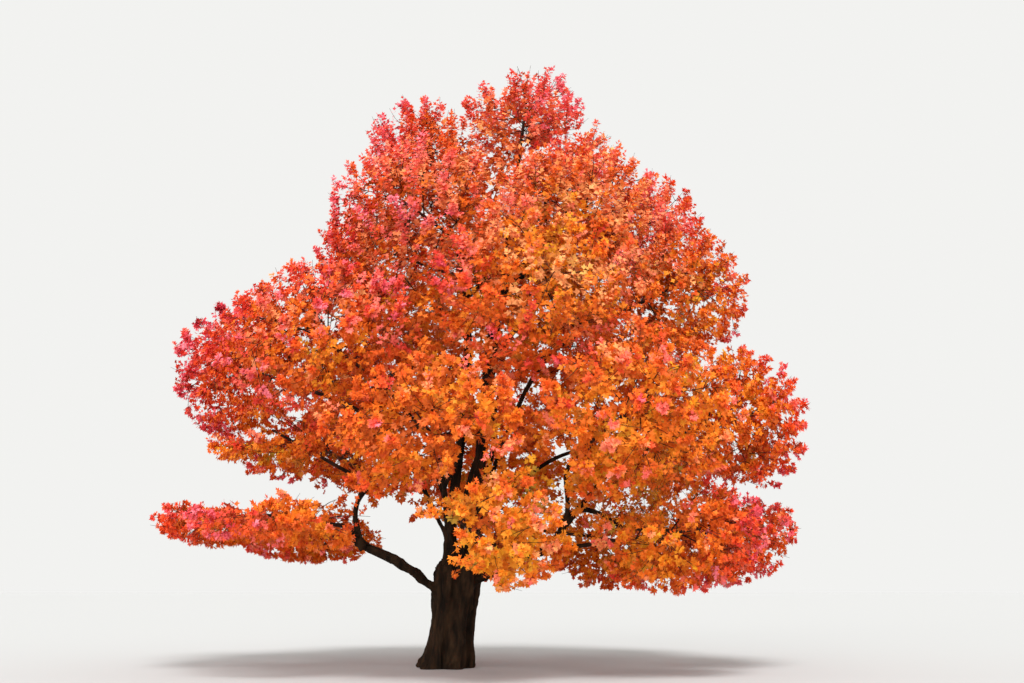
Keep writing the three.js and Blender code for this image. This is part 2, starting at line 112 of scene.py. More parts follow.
bough = {
    "tipRadius": 40,
    "growth": 0.07,
    "entry": 0.93,
    "leaderRise": 40,
    "leaderFrom": 0.8,
    "leaderSpread": 190,
    "trunkFrom": 1450,
    "trunkTo": 1900,
    "lowLimbs": {"skirt_3": 1450, "skirt_5": 1050, "skirt_8": 1300},
    "boughFrom": 0.14,
    "boughTo": 0.72,
    "tries": 12,
    "along": 0.35,
    "trunkAlong": 0.8,
    "startHandle": 0.36,
    "endHandle": 0.34,
    "levelling": 0.55,
    "turnIn": 0.6,
    "sway": 0.05,
    "leaderSway": 0.025,
    "swayTurn": (0.003, 0.005),
    "lookAlong": 0.05,
    "thinOver": (-0.03, 0.05),
}

cost = {
    "bestSlope": 34,
    "perDegreeOff": 28,
    "freeBend": 50,
    "perDegreeBent": 30,
    "fromTrunk": 900,
    "crowding": 260,
    "crowded": 2500,
}

up = np.array([0.0, 0.0, 1.0])


def seeded(seed):
    state = seed & 0xFFFFFFFF

    def draw():
        nonlocal state
        state = (state + 0x6D2B79F5) & 0xFFFFFFFF
        mixed = ((state ^ (state >> 15)) * (state | 1)) & 0xFFFFFFFF
        stirred = ((mixed ^ (mixed >> 7)) * (mixed | 61)) & 0xFFFFFFFF
        mixed = ((mixed + stirred) & 0xFFFFFFFF) ^ mixed
        return ((mixed ^ (mixed >> 14)) & 0xFFFFFFFF) / 4294967296

    return draw


def unit(vectors):
    vectors = np.asarray(vectors, float)
    return vectors / np.maximum(np.linalg.norm(vectors, axis=-1, keepdims=True), 1e-12)


def lengthOf(vectors):
    return np.linalg.norm(vectors, axis=-1)


def smoothStep(value, low, high):
    share = np.clip((value - low) / (high - low), 0, 1)
    return share * share * (3 - 2 * share)


# Masses, and the spaces that they keep to

def placeMasses():
    draw = seeded(seeds["masses"])

    def uneven(amount):
        return (2 * draw() - 1) * amount

    masses = []
    for tier in tiers:
        for i in range(tier["masses"]):
            azimuth = (tier["turn"] + i * 360 / tier["masses"] + uneven(wander["azimuth"])) * degree
            outward = np.array([math.cos(azimuth), math.sin(azimuth), 0])
            rise = tier["rise"] * degree
            forward = outward * math.cos(rise) + up * math.sin(rise)
            side = np.array([-outward[1], outward[0], 0])
            above = np.cross(forward, side)
            size = 1 + uneven(wander["size"])
            centre = np.array([
                tier["middle"] + tier["halfWidth"] * outward[0],
                tier["halfDepth"] * outward[1],
                tier["height"] + tier["climb"] * outward[0] + uneven(wander["height"]) * abs(outward[1]),
            ])
            thin = 1 - tier["leftThin"] * max(0, -outward[0])
            half = np.array([tier["along"], tier["across"], tier["thick"] * thin]) * size
            if tier["halfWidth"] > 0:
                centre = centre - outward * half[0]
            masses.append({
                "name": f"{tier['name']}_{i + 1}",
                "tier": tier,
                "centre": centre,
                "axes": np.array([forward, side, above]),
                "half": half,
                "walls": [],
            })
    return masses


def reachAlong(mass, directions):
    return 1 / lengthOf(directions @ mass["axes"].T / mass["half"])


def raiseWalls(masses):
    for mass in masses:
        for other in masses:
            if other is mass:
                continue
            direction = other["centre"] - mass["centre"]
            distance = lengthOf(direction)
            direction = direction / distance
            mine, theirs = reachAlong(mass, direction), reachAlong(other, direction)
            if mine + theirs >= distance:
                mass["walls"].append((direction, distance * mine / (mine + theirs) - wallGap))


def roomAlong(mass, directions):
    room = reachAlong(mass, directions)
    for direction, limit in mass["walls"]:
        facing = directions @ direction
        room = np.where(facing > 0, np.minimum(room, limit / np.where(facing > 0, facing, 1)), room)
    return room


def shareOut(mass, points):
    # how far out a point lies in its mass's space: 1 at the edge
    offset = points - mass["centre"]
    distance = lengthOf(offset)
    return distance / roomAlong(mass, offset / np.maximum(distance, 1e-9)[..., None])


# Limbs

def trunkLine():
    tip = np.array([trunk["lean"], 0, trunk["height"]], float)
    return {
        "name": "trunk",
        "at": lambda share: np.asarray(share, float)[..., None] * tip,
        "children": [],
        "length": trunk["height"],
    }


def isLeader(mass):
    return mass["tier"]["rise"] > bough["leaderRise"]


def makeBough(mass, parent, share):
    leader = isLeader(mass)
    start = parent["at"](share)
    behind = parent["at"](max(0, share - bough["lookAlong"]))
    ahead = unit(parent["at"](min(1, share + bough["lookAlong"])) - behind)
    heading = unit(mass["centre"] - start)
    if leader:
        start = start + unit(heading * (1, 1, 0)) * bough["leaderSpread"]
        heading = unit(mass["centre"] - start)
    arrive = (mass["centre"] - start) * (1, 1, bough["levelling"])
    arrive = unit(unit(arrive) + mass["axes"][0] * bough["turnIn"])
    end = mass["centre"] - arrive * roomAlong(mass, -arrive) * bough["entry"]
    span = lengthOf(end - start)
    leave = unit(ahead * bough["trunkAlong" if parent["name"] == "trunk" else "along"] + heading)
    leaving, arriving = leave * span * bough["startHandle"], arrive * span * bough["endHandle"]
    corners = (start, start + leaving, end - arriving, end)
    swaySide = unit([-heading[1], heading[0], 0])
    swayWidth = span * bough["leaderSway" if leader else "sway"]
    swayTurn = mass["centre"][0] * bough["swayTurn"][0] + mass["centre"][1] * bough["swayTurn"][1]

    def curve(t):
        weights = ((1 - t) ** 3, 3 * t * (1 - t) ** 2, 3 * t * t * (1 - t), t ** 3)
        return sum(w * corner for w, corner in zip(weights, corners))

    def at(t):
        t = np.asarray(t, float)[..., None]
        sway = np.sin(t * math.pi * 2 + swayTurn) * np.sin(t * math.pi) ** 2
        return curve(t) + swaySide * sway * swayWidth

    places = curve(np.linspace(0, 1, 201)[:, None])
    return {
        "name": "bough_" + mass["name"],
        "mass": mass,
        "parent": parent,
        "share": share,
        "at": at,
        "load": 1,
        "children": [],
        "length": lengthOf(np.diff(places, axis=0)).sum(),
    }


def costOf(mass, parent, share):
    start = parent["at"](share)
    ahead = unit(parent["at"](min(1, share + bough["lookAlong"])) - start)
    path = mass["centre"] - start
    distance = lengthOf(path)
    path = path / distance
    slope = math.asin(path[2]) / degree
    bend = math.acos(max(-1, min(1, ahead @ path))) / degree
    nearest = min([abs(c["share"] - share) * parent["length"] for c in parent["children"]] + [math.inf])
    source = cost["fromTrunk"] if parent["name"] == "trunk" else 0
    crowding = cost["crowded"] if nearest < cost["crowding"] else 0
    steepness = abs(slope - cost["bestSlope"]) * cost["perDegreeOff"]
    bending = max(0, bend - cost["freeBend"]) * cost["perDegreeBent"]
    return distance + steepness + bending + source + crowding


def placesFor(mass, root, limbs):
    lowest = bough["lowLimbs"].get(mass["name"])
    if lowest:
        return [(root, lowest / trunk["height"])]
    if isLeader(mass):
        return [(root, bough["leaderFrom"])]
    places = []
    for parent in [root] if mass["tier"]["source"] == "trunk" else limbs:
        low = bough["trunkFrom"] / trunk["height"] if parent is root else bough["boughFrom"]
        high = bough["trunkTo"] / trunk["height"] if parent is root else bough["boughTo"]
        for step in range(bough["tries"] + 1):
            places.append((parent, low + (high - low) * step / bough["tries"]))
    return places


def growBoughs(masses):
    root = trunkLine()
    limbs = [root]

    def rank(mass):
        return 0 if mass["name"] in bough["lowLimbs"] else 1 if mass["tier"]["source"] == "trunk" else 2

    for mass in sorted(reversed(masses), key=rank):
        parent, share = min(placesFor(mass, root, limbs), key=lambda place: costOf(mass, *place))
        limb = makeBough(mass, parent, share)
        parent["children"].append(limb)
        while parent is not root:
            parent["load"] += 1
            parent = parent["parent"]
        limbs.append(limb)
    return root, limbs[1:]


def radiusAt(limb, shares):
    shares = np.asarray(shares, float)
    carried = np.ones_like(shares)
    for child in limb["children"]:
        carried = carried + child["load"] * smoothStep(child["share"] - shares, *bough["thinOver"])
    back = limb["length"] * (1 - shares) * metre
    return bough["tipRadius"] * np.sqrt(carried) * (1 + bough["growth"] * back)


masses = placeMasses()
raiseWalls(masses)
root, boughs = growBoughs(masses)
print("limbs grown:", len(boughs))


# Mesh making

def addObject(name, data):
    made = bpy.data.objects.new(name, data)
    bpy.context.scene.collection.objects.link(made)
    return made


def makePiece(name, points, faces, material, nodes, smooth=False):
    # faces are rows of three or four corners
    mesh = bpy.data.meshes.new(name)
    mesh.vertices.add(len(points))
    mesh.vertices.foreach_set("co", np.asarray(points, np.float32).ravel())
    mesh.loops.add(faces.size)
    mesh.loops.foreach_set("vertex_index", faces.astype(np.int32).ravel())
    mesh.polygons.add(len(faces))
    mesh.polygons.foreach_set("loop_start", np.arange(0, faces.size, faces.shape[1], dtype=np.int32))
    mesh.polygons.foreach_set("loop_total", np.full(len(faces), faces.shape[1], np.int32))
    mesh.update(calc_edges=True)
    mesh.validate()
    mesh.polygons.foreach_set("use_smooth", np.full(len(mesh.polygons), smooth))
    mesh.materials.append(material)
    piece = addObject(name, mesh)
    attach(piece, "root")
    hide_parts(*nodes)
    print(name + ":", len(faces) * (faces.shape[1] - 2), "triangles")
    return piece


def framesAlong(lines):
    # lines is (lines, places, 3); across and other are square to each line and turn little along it
    ahead = np.empty_like(lines)
    ahead[:, 1:-1] = lines[:, 2:] - lines[:, :-2]
    ahead[:, 0] = lines[:, 1] - lines[:, 0]
    ahead[:, -1] = lines[:, -1] - lines[:, -2]
    ahead = unit(ahead)
    across = np.empty_like(lines)
    first = np.where(np.abs(ahead[:, 0, 1:2]) < 0.9, [[0.0, 1.0, 0.0]], [[1.0, 0.0, 0.0]])
    for k in range(lines.shape[1]):
        first = unit(first - (first * ahead[:, k]).sum(-1, keepdims=True) * ahead[:, k])
        across[:, k] = first
    return ahead, across, np.cross(across, ahead)


def skinFaces(rings, sides):
    # round a tube's rings and to the two points at its ends, which come after them
    here = np.arange(rings - 1)[:, None] * sides + np.arange(sides)
    beside = np.arange(rings - 1)[:, None] * sides + (np.arange(sides) + 1) % sides
    last, tip = (rings - 1) * sides, np.full(sides, rings * sides)
    return np.concatenate([
        np.stack([here, here + sides, beside], -1).reshape(-1, 3),
        np.stack([beside, here + sides, beside + sides], -1).reshape(-1, 3),
        np.stack([here[0], beside[0], tip], -1),
        np.stack([last + beside[0], last + here[0], tip + 1], -1),
    ])


def ringRound(across, other, sides):
    angles = np.arange(sides)[:, None] * 2 * math.pi / sides
    return across[..., None, :] * np.cos(angles) + other[..., None, :] * np.sin(angles)


def repeated(faces, count, corners):
    # the faces of many things that are alike, each with so many corners
    return (faces + (np.arange(count) * corners)[:, None, None]).reshape(-1, 3)


def tubes(lines, radii, sides):
    # closed tubes with pointed ends, as points and three-cornered faces
    count, places = lines.shape[:2]
    ahead, across, other = framesAlong(lines)
    points = lines[:, :, None] + ringRound(across, other, sides) * radii[:, :, None, None]
    starts = lines[:, :1] - ahead[:, :1] * radii[:, :1, None] * 0.5
    ends = lines[:, -1:] + ahead[:, -1:] * radii[:, -1:, None]
    points = np.concatenate([points.reshape(count, places * sides, 3), starts, ends], 1)
    return points.reshape(-1, 3), repeated(skinFaces(places, sides), count, places * sides + 2)


def gather(parts):
    points, faces, total = [], [], 0
    for somePoints, someFaces in parts:
        points.append(somePoints)
        faces.append(someFaces + total)
        total += len(somePoints)
    return np.concatenate(points), np.concatenate(faces)


# Value noise from -1 to 1, the same in each run
def noiseAt(points, seed=0):
    cell = np.floor(points).astype(np.int64)
    share = points - cell
    share = share * share * (3 - 2 * share)
    total = np.zeros(len(points))
    for corner in range(8):
        step = np.array([corner & 1, corner >> 1 & 1, corner >> 2 & 1])
        x, y, z = (cell + step).T
        mixed = x * 73856093 ^ y * 19349663 ^ z * 83492791 ^ seed * 2654435761
        mixed = (mixed & 0xFFFFFFFF).astype(np.uint64)
        mixed = (mixed ^ (mixed >> np.uint64(13))) * np.uint64(1274126177) & np.uint64(0xFFFFFFFF)
        mixed = (mixed ^ (mixed >> np.uint64(16))) / 4294967295
        total += mixed * np.where(step, share, 1 - share).prod(1)
    return total * 2 - 1


# Bark: ridges that run along each limb and join and part, cracks between them, and a fine crumble
bark = {
    "ridgeWide": 70.0,
    "ridgeLong": 420.0,
    "depth": 0.143,  # of the limb's radius
    "deepest": 26.0,
    "bends": 2.1,
    "bent": 0.35,
    "sharp": 0.8,
    "finer": (2.7, 2.7, 5.0),
    "crumble": 0.25,
    "sunk": 0.35,  # how much of the relief goes inwards
    "apart": 37.0,  # each limb has its own stretch of the noise
    "collar": 0.45,
    "collarLong": 190.0,
    "fold": 66.0,  # broad folds that run up the trunk, over the ridges
    "foldWide": 190.0,
    "foldLong": 1300.0,
    "foldBent": 0.2,
    "foldDeep": 2.2,
    "foldSharp": 0.7,
    "foldSunk": 0.3,
    "shownRidges": 0.65,  # how much of each the bark's colour follows on the trunk and fork: painted shade, darker in cracks and folds, lighter on ridges
    "shownFolds": 0.45,
}


def barkRelief(local):
    # local is across, other and along in millimetres; the relief runs from -1 in a crack to 1
    coarse = local / (bark["ridgeWide"], bark["ridgeWide"], bark["ridgeLong"])
    bends = [noiseAt(coarse * bark["bends"], seed) for seed in (3, 4)] + [noiseAt(coarse, 5)]
    bent = coarse + bark["bent"] * np.stack(bends, 1)
    ridges = 1 - 2 * np.abs(noiseAt(bent, 1)) ** bark["sharp"]
    finer = noiseAt(bent * bark["finer"], 2)
    return np.clip((1 - bark["crumble"]) * ridges + bark["crumble"] * finer, -1, 1)


def barkDepth(radius):
    return np.minimum(bark["deepest"], bark["depth"] * radius)


def trunkRadius(share, angle):
    z = share * trunk["height"]
    flute = np.cos(trunk["flutes"] * angle + trunk["fluteTurn"] + share)
    foot = np.exp(-z / trunk["flareHeight"]) * (1 + trunk["footFlute"] * flute)
    flare = foot * (trunk["flare"] - trunk["flareLeft"] * np.cos(angle))
    swell = trunk["forkSwell"] * smoothStep(z, trunk["swellFrom"], trunk["swellTo"])
    radius = trunk["radius"] + flare + swell + flute * trunk["fluteDepth"]
    down = np.minimum(1, (trunk["height"] - z) / trunk["shoulder"])
    return radius * np.sqrt(1 - trunk["topShrink"] * (1 - down) ** 2)


def limbPlaces(limb, low, high, spacing):
    # shares of its length, places and radii, with a collar where it leaves its parent
    count = max(6, round(limb["length"] * (high - low) / spacing))
    shares = np.linspace(low, high, count + 1)
    radii = radiusAt(limb, shares)
    fromStart = shares * limb["length"]
    radii = radii * (1 + bark["collar"] * np.exp(-fromStart / bark["collarLong"]))
    return shares, limb["at"](shares), radii


lowerWood = {
    "stretch": 1700.0,  # how far along its limbs the one skin runs
    "mostOfLimb": 0.6,
    "mostOfChild": 0.5,
    "pastFork": 0.08,
    "spacing": 60.0,
    "sides": 28,
    "trunkSides": 72,
    "trunkRings": 60,
    "voxel": 0.025,
    "smoothing": 5,
    "footRise": 0.03,  # the relief fades out this close to the ground, in metres
    "lookPlaces": 90,
    "lookAtOnce": 20000,
    "fade": 6,  # a limb's relief fades away from it, and ends so many radii out
    "fadeTo": 2.5,
}


def trunkShell():
    shares = np.linspace(0, 1, lowerWood["trunkRings"] + 1)
    angles = np.arange(lowerWood["trunkSides"]) * 2 * math.pi / lowerWood["trunkSides"]
    share, angle = np.meshgrid(shares, angles, indexing="ij")
    radius = trunkRadius(share, angle)
    around = np.stack([np.cos(angle), -np.sin(angle), 0 * angle], -1)
    points = root["at"](share) + around * radius[..., None]
    points = np.concatenate([points.reshape(-1, 3), root["at"](np.array([0.0, 1.0]))])
    return points, skinFaces(*share.shape)[:, ::-1]


def valuesOf(items, key, kind, width):
    values = np.empty(len(items) * width, kind)
    items.foreach_get(key, values)
    return values.reshape(-1, width)


def remeshed(points, faces, voxel, smoothing):
    # one skin round everything that crosses, with its inner corners filled out a little
    mesh = bpy.data.meshes.new("rough")
    mesh.from_pydata(points.tolist(), [], faces.tolist())
    rough = addObject("rough", mesh)
    skin = rough.modifiers.new("skin", "REMESH")
    skin.mode = "VOXEL"
    skin.voxel_size = voxel
    soften = rough.modifiers.new("soften", "SMOOTH")
    soften.iterations = smoothing
    soften.factor = 0.5
    bpy.context.view_layer.update()
    done = bpy.data.meshes.new_from_object(rough.evaluated_get(bpy.context.evaluated_depsgraph_get()))
    found = valuesOf(done.vertices, "co", np.float32, 3).astype(float)
    normals = valuesOf(done.vertex_normals, "vector", np.float32, 3).astype(float)
    corners = valuesOf(done.loops, "vertex_index", np.int32, 1).reshape(-1, 4)
    bpy.data.objects.remove(rough)
    bpy.data.meshes.remove(mesh)
    bpy.data.meshes.remove(done)
    return found, normals, corners


def limbRelief(limb, offset, across, other, along):
    # how far places lie from a limb's line, and the relief of its bark there
    x, y = (offset * across).sum(1), (offset * other).sum(1)
    ownStart = sum(map(ord, limb["name"])) * bark["apart"]
    return np.hypot(x, y), barkRelief(np.stack([x + ownStart, y, along], 1))


def reliefOn(points, limbs):
    # the relief at points on the skin, mixed where limbs run into each other
    total, weights, depth = (np.zeros(len(points)) for _ in range(3))
    for limb in limbs:
        shares = np.linspace(0, 1, lowerWood["lookPlaces"])
        line = limb["at"](shares)
        if limb["name"] == "trunk":
            radii = trunkRadius(shares, 0 * shares)
            radii[shares > bough["leaderFrom"]] = trunk["radius"]
        else:
            radii = radiusAt(limb, shares)
        ahead, across, other = (a[0] for a in framesAlong(line[None]))
        nearest = np.empty(len(points), int)
        for k in range(0, len(points), lowerWood["lookAtOnce"]):
            some = slice(k, k + lowerWood["lookAtOnce"])
            nearest[some] = lengthOf(points[some, None] - line).argmin(1)
        offset = points - line[nearest]
        along = shares[nearest] * limb["length"] + (offset * ahead[nearest]).sum(1)
        away, relief = limbRelief(limb, offset, across[nearest], other[nearest], along)
        away = away / radii[nearest]
        near = np.exp(-lowerWood["fade"] * away) * (away < lowerWood["fadeTo"])
        total += near * relief
        weights += near
        depth += near * barkDepth(radii[nearest])
    weights = np.maximum(weights, 1e-12)
    return total / weights, depth / weights


def setRelief(piece, relief):
    layer = piece.data.attributes.new("relief", "FLOAT", "POINT")
    layer.data.foreach_set("value", relief.astype(np.float32))


# Materials

def linear(code):
    parts = [int(code[i : i + 2], 16) / 255 for i in (0, 2, 4)]
    return [p / 12.92 if p <= 0.04045 else ((p + 0.055) / 1.055) ** 2.4 for p in parts] + [1.0]


def feed(tree, node, sockets):
    # sockets maps each input to its value, or to the output that feeds it
    for name, value in sockets.items():
        if isinstance(value, bpy.types.NodeSocket):
            tree.links.new(value, node.inputs[name])
        else:
            node.inputs[name].default_value = value


def addNode(tree, kind, sockets, **settings):
    node = tree.nodes.new(kind)
    for name, value in settings.items():
        setattr(node, name, value)
    feed(tree, node, sockets)
    return node


finishes = {"wood": (0.9, 0.12), "leaves": (0.55, 0.2), "floor": (0.9, 0.1)}  # roughness, specular


def newMaterial(name, finish, colour=None):
    material = bpy.data.materials.new(name)
    material.use_nodes = True
    shader = material.node_tree.nodes["Principled BSDF"]
    roughness, specular = finishes[finish]
    feed(material.node_tree, shader, {"Roughness": roughness, "Specular IOR Level": specular})
    if colour:
        feed(material.node_tree, shader, {"Base Color": linear(colour)})
    return material, shader


def grainGroup():
    # the fine grain of bark and twigs: a colour between two, and the height of small scales; a relief
    # fed in makes the colour darker in cracks and lighter on ridges, painted shade and light
    group = bpy.data.node_groups.new("woodGrainAndShade", "ShaderNodeTree")
    for direction, sockets in (
        ("INPUT", {"Dark": "Color", "Light": "Color", "Relief": "Float", "Scale": "Float"}),
        ("OUTPUT", {"Colour": "Color", "Height": "Float", "Roughness": "Float"}),
    ):
        for name, kind in sockets.items():
            group.interface.new_socket(name, in_out=direction, socket_type="NodeSocket" + kind)
    entry = group.nodes.new("NodeGroupInput").outputs
    place = group.nodes.new("ShaderNodeTexCoord")
    drawn = addNode(group, "ShaderNodeMapping", {
        "Vector": place.outputs["Object"],
        "Scale": (1.0, 1.0, 0.3),
    }).outputs["Vector"]
    fine = addNode(group, "ShaderNodeTexNoise", {
        "Vector": drawn,
        "Scale": entry["Scale"],
        "Detail": 6.0,
        "Roughness": 0.65,
    }).outputs["Fac"]
    streaks = addNode(group, "ShaderNodeTexNoise", {"Vector": drawn, "Scale": 6.0, "Detail": 3.0})
    faded = addNode(group, "ShaderNodeMapRange", {
        "Value": streaks.outputs["Fac"],
        "From Min": 0.36,
        "From Max": 0.66,
        "To Min": 0.12,
        "To Max": 0.95,
    })
    # painted shade: the colour darkens where the relief is low, in cracks and folds, and lightens on
    # ridges
    lift = addNode(group, "ShaderNodeMapRange", {
        "Value": entry["Relief"],
        "From Min": -0.7,
        "From Max": 0.9,
        "To Max": 0.75,
    })
    mottleAndShade = addNode(group, "ShaderNodeMath", {
        0: fine,
        1: 0.7,
        2: lift.outputs["Result"],
    }, operation="MULTIPLY_ADD")
    weatherAndShade = addNode(group, "ShaderNodeMath", {
        0: mottleAndShade.outputs["Value"],
        1: faded.outputs["Result"],
    }, operation="MULTIPLY")
    tone = addNode(group, "ShaderNodeMix", {
        "Factor": weatherAndShade.outputs["Value"],
        "A": entry["Dark"],
        "B": entry["Light"],
    }, data_type="RGBA")
    dull = addNode(group, "ShaderNodeMapRange", {"Value": fine, "To Min": 0.95, "To Max": 0.78})
    addNode(group, "NodeGroupOutput", {
        "Colour": tone.outputs["Result"],
        "Height": fine,
        "Roughness": dull.outputs["Result"],
    })
    return group


woodGrainAndShade = grainGroup()
woodFinishes = {
    # the bark's dark tones are partly its own colour and partly painted shade, as under the crown
    "bark": {"dark": "060402", "light": "3f2c1c", "scale": 26.0, "bump": 0.5, "distance": 0.008},
    "twigBark": {"dark": "20140f", "light": "5c4437", "scale": 60.0, "bump": 0.3, "distance": 0.002},
}


def woodMaterial(name, relief):
    finish = woodFinishes[name]
    material, shader = newMaterial(name, "wood")
    tree = material.node_tree
    grain = addNode(tree, "ShaderNodeGroup", {
        "Dark": linear(finish["dark"]),
        "Light": linear(finish["light"]),
        "Scale": finish["scale"],
    }, node_tree=woodGrainAndShade)
    # the relief stored on the mesh paints shade into the bark's cracks and folds
    if relief:
        stored = addNode(tree, "ShaderNodeAttribute", {}, attribute_name="relief")
        feed(tree, grain, {"Relief": stored.outputs["Fac"]})
    bump = addNode(tree, "ShaderNodeBump", {
        "Height": grain.outputs["Height"],
        "Strength": finish["bump"],
        "Distance": finish["distance"],
    })
    feed(tree, shader, {
        "Base Color": grain.outputs["Colour"],
        "Roughness": grain.outputs["Roughness"],
        "Normal": bump.outputs["Normal"],
    })
    return material


barkMaterial = woodMaterial("bark", relief=True)
twigMaterial = woodMaterial("twigBark", relief=False)


# Trunk and fork: one skin, then the relief

def makeLowerWood():
    joined = []
    for limb in root["children"]:
        high = min(lowerWood["mostOfLimb"], lowerWood["stretch"] / limb["length"])
        joined.append((limb, high))
        for child in limb["children"]:
            if child["share"] < high:
                past = (high - child["share"]) * limb["length"] / child["length"] + lowerWood["pastFork"]
                joined.append((child, min(lowerWood["mostOfChild"], past)))
    parts = [trunkShell()]
    for limb, high in joined:
        _, line, radii = limbPlaces(limb, 0.0, high, lowerWood["spacing"])
        parts.append(tubes(line[None], radii[None], lowerWood["sides"]))
    points, faces = gather(parts)
    points, normals, quads = remeshed(points * metre, faces, lowerWood["voxel"], lowerWood["smoothing"])
    relief, depth = reliefOn(points / metre, [root] + [limb for limb, _ in joined])
    foot = smoothStep(points[:, 2], 0.0, lowerWood["footRise"])
    places = points / metre / (bark["foldWide"], bark["foldWide"], bark["foldLong"])
    places = places + bark["foldBent"] * noiseAt(places * 2, 42)[:, None]
    folds = 1 - bark["foldDeep"] * np.abs(noiseAt(places, 41)) ** bark["foldSharp"]
    folding = (folds - bark["foldSunk"]) * bark["fold"] * (depth / bark["deepest"]) ** 2
    standOut = (relief - bark["sunk"]) * depth + folding
    moved = points + normals * (standOut * metre * foot)[:, None]
    # the relief that the colour follows, darker in cracks and folds: painted shade
    relief = np.clip(bark["shownRidges"] * relief + bark["shownFolds"] * folds, -1, 1)
    moved[:, 2] = np.maximum(moved[:, 2], 0)
    piece = makePiece("trunk_and_fork", moved, quads, barkMaterial, ["trunk"], smooth=True)
    setRelief(piece, relief)
    return {limb["name"]: high for limb, high in joined}


upperWood = {"spacing": 75.0, "sides": 12, "overlap": 130.0}


def makeUpperWood(reached):
    parts, reliefs, sides = [], [], upperWood["sides"]
    for limb in boughs:
        low = max(0.0, reached.get(limb["name"], 0.0) - upperWood["overlap"] / limb["length"])
        shares, line, radii = limbPlaces(limb, low, 1.0, upperWood["spacing"])
        points, faces = tubes(line[None], radii[None], sides)
        _, across, other = (a[0] for a in framesAlong(line[None]))
        byRing = (line, across, other, shares * limb["length"], barkDepth(radii))
        middles, across, other, along, depth = (np.repeat(a, sides, 0) for a in byRing)
        rings = points[: len(middles)]
        offset = rings - middles
        _, relief = limbRelief(limb, offset, across, other, along)
        rings += unit(offset) * ((relief - bark["sunk"]) * depth)[:, None]
        parts.append((points * metre, faces))
        reliefs.append(np.append(relief, [0, 0]))
    points, faces = gather(parts)
    names = [limb["name"] for limb in boughs]
    piece = makePiece("boughs", points, faces, barkMaterial, names, smooth=True)
    setRelief(piece, np.concatenate(reliefs))


makeUpperWood(makeLowerWood())

# Sprays: what each mass carries beyond its bough. The source's twigs come first, then finer
# ones that branch from them by the same rule, then sprigs that bear the leaves.
spray = {
    "tipLook": 0.98,
    "stemPast": 0.3,
    "stemBack": -0.04,
    "twigsFrom": 0.62,
    "twigsOver": 0.3,
    "sourceTwigs": 10,
    "sourceReach": 0.86,
    "backward": -0.85,
    "coreDraws": 12,  # draws that the source makes before its twigs
    "forward": 0.5,  # how much a branch favours growing on ahead
    "lineRoom": 60.0,  # every twig keeps this far from the sides of the solids' box
    "lift": 0.08,  # how much a twig arches
    "bend": 0.16,  # and how much it leaves along its parent
    "radii": (22.0, 14.0, 6.5, 3.0),  # stem, twig, finer twig and tip
    "sides": (8, 4, 3),
    "stemFoot": 0.97,  # how much thinner its foot is than the bough's tip
    "points": 7,
}
fingers = {  # the finer twigs; those outside carry tapering tufts
    "each": 120,
    "uneven": 0.05,
    "reach": (0.86, 1.0),
    "innerReach": (0.6, 0.84),
    "innerShare": 0.35,
    "hollow": -1.6,  # how soon the crown counts as hollow between its lumps
    "drawnIn": 0.6,  # and how far twigs draw back there, of the sprigs' depth
    "handle": 0.4,  # how much of its length a finger takes to turn along its axis
    "lead": 400.0,
    "flat": (0.45, 0.9),  # how level and how upright its axis is, low and high in the crown
    "rise": (0.12, 1.1),
    "wander": 0.12,
    "tuft": 800.0,  # how long its tuft is, and how narrow at the tip
    "narrow": 0.36,
    "from": 0.2,  # the lowest share of a twig's length that one leaves from
    "tries": 8,
    "points": 5,
    "past": 0.5,  # how much farther off a finger counts for ends past its tip, and far behind it
    "behind": 0.4,
    "atTip": 0.35,  # and how much of a tuft the former fill
}
sprigs = {
    "perMetre": 35.8,  # on each square metre round a mass, before some are left out
    "reach": 0.95,
    "lumpDepth": 300.0,  # how far the crown draws back between its lumps
    "lumpLow": (500.0, 500.0, 290.0),  # flat pads low in the crown, upright plumes at its top
    "lumpHigh": (300.0, 300.0, 850.0),
    "tufts": 0.35,  # the small lumps on the large ones
    "tuftSize": 190.0,
    "padHeight": 240.0,
    "uneven": 0.04,
    "inside": 0.34,  # share that ends further in
    "insideReach": (0.5, 0.85),
    "between": (0.8, 1.4),  # how far out those go that fill the crown's middle
    "lowestBetween": 3200.0,
    "edgeRoom": 95.0,
    "facing": (-0.4, 0.3),  # from the crown's middle to its outside
    "innerSide": (0.3, 0.6),  # share kept where a mass faces the crown's middle, low and high
    "byWall": 0.48,  # and where it meets its neighbour
    "wallFrom": 0.97,
    "hollows": 0.6,  # and between the lumps
    "hollowFrom": (-0.5, 0.2),
    "drawBack": (0.5, 0.8),
    "standOut": (1.2, 0.7),  # how much a sprig stands out by its lump, and on the upper side
    "leastOut": -0.9,  # as -1 stands for inside
    "fromTwig": 0.3,
    "fromFiner": 0.15,
    "tries": 9,
    "longest": 1300.0,
    "leafy": (240.0, 430.0),
    "radius": 3.6,
    "rise": (0.15, 0.6),  # how much a sprig favours growing up, low and high in the crown
}
leaves = {
    "pairs": 4,
    "length": (0.08, 0.116),  # in metres
    "tipSmaller": 0.15,
    "placeUneven": (0.8, 1.1),
    "innerSize": 1.42,  # how much larger they are inside, where only their mass shows
    "spread": (82.0, 38.0),  # angles to the sprig in degrees, at its foot and at its tip
    "spreadUneven": (0.75, 1.2),
    "twist": 0.35,
    "droop": 0.35,
    "droopUneven": (0.2, 1.6),
    "tilt": 0.38,
    "skyward": 0.35,
    "outward": 0.9,
    "fold": 0.16,
    "curl": 0.16,
    "limbRoom": 35.0,
    "look": 400.0,  # how far past its mass limbs are looked for
    "lookStep": 120,
    "lookAtOnce": 1000,
    "edge": 0.998,
    "boxRoom": 35.0,
}
crown = {
    "middle": (0.75, 0.0, 5.6),
    "half": (6.2, 5.7, 6.6),
    "lowTo": 2500.0,
    "highFrom": 9500.0,
    "outerFrom": -0.1,  # how far a way may point into the crown and still be outside
}
ragged = {"amount": 0.3, "size": 300}
